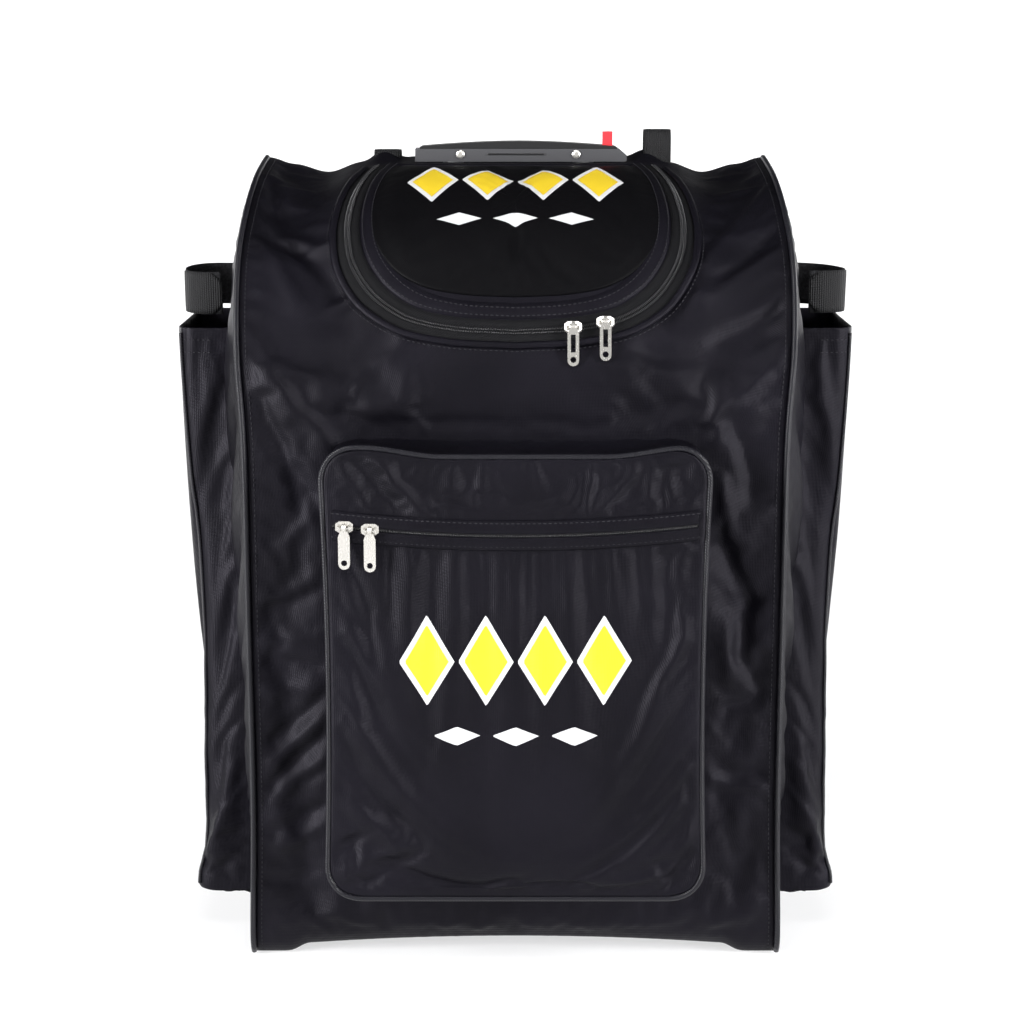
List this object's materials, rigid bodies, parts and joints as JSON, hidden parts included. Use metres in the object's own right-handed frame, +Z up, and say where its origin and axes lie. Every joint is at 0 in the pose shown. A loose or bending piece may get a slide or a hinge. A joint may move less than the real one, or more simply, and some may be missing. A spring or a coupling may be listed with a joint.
{
  "type": "wheeled cricket kit bag",
  "caption": "Black nylon wheeled cricket kit bag with a zipped top lid, front pocket, side bat pockets with hook-and-loop straps, shoulder straps and a telescopic handle.",
  "frame": {"origin": "on the floor, under the middle of the whole bag's box", "axes": "+Z up, -Y out of the front pocket, +X to the right seen from the front"},
  "size_m": [0.6024, 0.3816, 0.737],
  "materials": {
    "nylon": "satin black woven nylon with a faint violet cast",
    "pad_cloth": "puffy padded black nylon, satin",
    "piping": "corded edge, satin",
    "zip_tape": "black zip tape and coil",
    "webbing": "matte ribbed black webbing",
    "nickel": "bright nickel plate",
    "grey_trim": "mid-grey moulded plastic, satin",
    "black_plastic": "black moulded plastic, satin",
    "red_plastic": "red moulded plastic",
    "tube": "satin anodised",
    "tyre": "matte black"
  },
  "bodies": {
    "bag": {"main_body": "nylon", "body_top": "nylon", "lid_border": "nylon", "lid_pad": "pad_cloth", "lid_zip": "zip_tape", "front_pocket": "nylon", "pocket_zip": "zip_tape", "pocket_piping": "piping", "piping_left": "piping", "piping_right": "piping", "bat_pocket_left": "nylon", "bat_pocket_right": "nylon", "bat_strap_left": "webbing", "bat_strap_right": "webbing", "strap_loop_left": "webbing", "strap_loop_right": "webbing", "shoulder_strap_left": "nylon", "shoulder_strap_right": "nylon", "strap_ring_left": "grey_trim", "strap_ring_right": "grey_trim", "strap_tab_left": "webbing", "strap_tab_right": "webbing", "wheel_housing_left": "black_plastic", "wheel_housing_right": "black_plastic", "guide_tube_left": "tube", "guide_tube_right": "tube", "handle_bezel": "grey_trim", "bezel_rivet_left": "nickel", "bezel_rivet_right": "nickel", "lid_slider_1": "nickel", "lid_slider_2": "nickel", "pocket_slider_1": "nickel", "pocket_slider_2": "nickel"},
    "handle": {"handle_grip": "black_plastic", "handle_rod_left": "tube", "handle_rod_right": "tube"},
    "button": {"release_button": "red_plastic"},
    "left_wheel": {"wheel_left": "tyre"},
    "right_wheel": {"wheel_right": "tyre"},
    "lid_pull_a": {"lid_pull_1": "nickel"},
    "lid_pull_b": {"lid_pull_2": "nickel"},
    "pocket_pull_a": {"pocket_pull_1": "nickel"},
    "pocket_pull_b": {"pocket_pull_2": "nickel"}
  },
  "joints": [
    {"name": "handle_slide", "type": "slide", "parent": "bag", "child": "handle", "axis": [0, 0, 1], "range_m": [0, 0.36]},
    {"name": "button_press", "type": "slide", "parent": "handle", "child": "button", "axis": [0, 0, -1], "range_m": [0, 0.005], "stiffness_N_per_m": 400, "springref_m": -0.002},
    {"name": "left_wheel_spin", "type": "hinge", "parent": "bag", "child": "left_wheel", "pos_m": [-0.172, 0.11299, 0.032], "axis": [1, 0, 0], "continuous": true},
    {"name": "right_wheel_spin", "type": "hinge", "parent": "bag", "child": "right_wheel", "pos_m": [0.172, 0.11299, 0.032], "axis": [1, 0, 0], "continuous": true},
    {"name": "lid_pull_a_swing", "type": "hinge", "parent": "bag", "child": "lid_pull_a", "pos_m": [0.05, -0.11687, 0.5798], "axis": [-1, 0, 0], "range_deg": [0, 150]},
    {"name": "lid_pull_b_swing", "type": "hinge", "parent": "bag", "child": "lid_pull_b", "pos_m": [0.078, -0.1142, 0.58401], "axis": [-1, 0, 0], "range_deg": [0, 150]},
    {"name": "pocket_pull_a_swing", "type": "hinge", "parent": "bag", "child": "pocket_pull_a", "pos_m": [-0.146, -0.18645, 0.41501], "axis": [-1, 0, 0], "range_deg": [0, 150]},
    {"name": "pocket_pull_b_swing", "type": "hinge", "parent": "bag", "child": "pocket_pull_b", "pos_m": [-0.124, -0.18775, 0.41305], "axis": [-1, 0, 0], "range_deg": [0, 150]}
  ]
}
